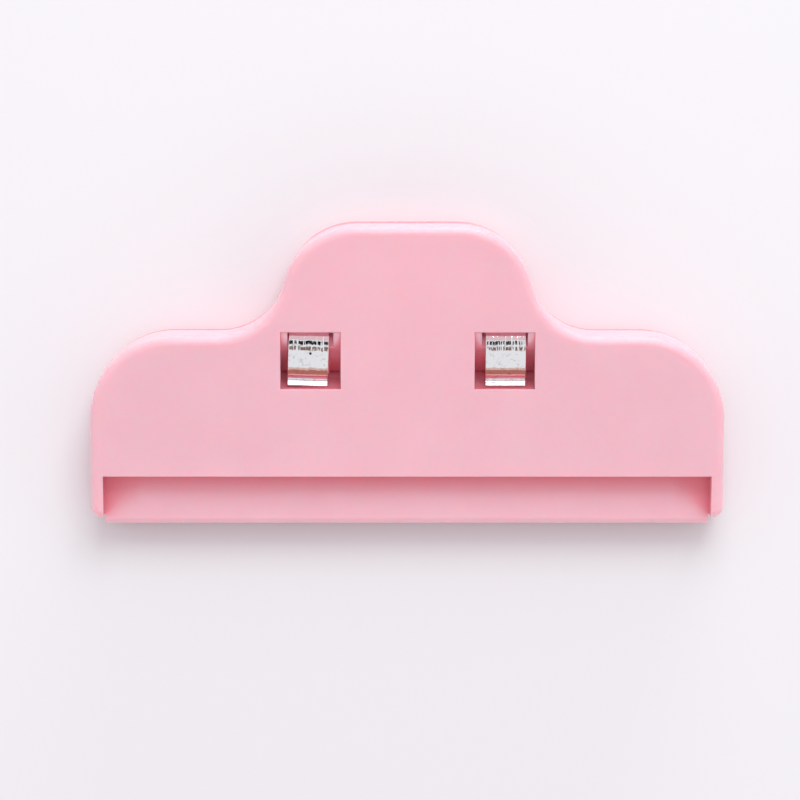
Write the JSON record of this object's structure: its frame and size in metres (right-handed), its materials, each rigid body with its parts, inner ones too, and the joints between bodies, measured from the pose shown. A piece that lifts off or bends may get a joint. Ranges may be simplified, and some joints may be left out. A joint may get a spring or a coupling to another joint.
{
  "type": "bag clip",
  "caption": "Wide moulded bag clip: hinged plastic halves with recessed jaw strips and a rounded squeeze handle, clamped by spring strips.",
  "frame": {"origin": "foot of the hinge axis on the rear half's flat outer face, at mid width", "axes": "+X along the jaw, +Y from the jaw towards the handle, +Z out of the rear half's resting face towards the front half"},
  "size_m": [0.1134, 0.0546, 0.0223],
  "materials": {
    "body_plastic": "satin moulded plastic, pale pink",
    "spring_steel": "bright plated spring strip"
  },
  "bodies": {
    "rear_half": {"rear_half": "body_plastic"},
    "front_half": {"front_half": "body_plastic"},
    "spring_left": {"spring_left": "spring_steel"},
    "spring_right": {"spring_right": "spring_steel"}
  },
  "joints": [
    {"name": "squeeze", "type": "hinge", "parent": "rear_half", "child": "front_half", "pos_m": [0, 0, 0.009], "axis": [-1, 0, 0], "range_deg": [0, 28], "stiffness_Nm_per_rad": 0.05, "deforming": ["spring_left", "spring_right"]},
    {"name": "spring_left_follow", "type": "hinge", "parent": "rear_half", "child": "spring_left", "pos_m": [0, 0, 0.009], "axis": [-1, 0, 0], "range_deg": [0, 14]},
    {"name": "spring_right_follow", "type": "hinge", "parent": "rear_half", "child": "spring_right", "pos_m": [0, 0, 0.009], "axis": [-1, 0, 0], "range_deg": [0, 14]}
  ],
  "couplings": [
    {"joint": "spring_left_follow", "follows": "squeeze", "ratio": 0.5},
    {"joint": "spring_right_follow", "follows": "squeeze", "ratio": 0.5}
  ]
}
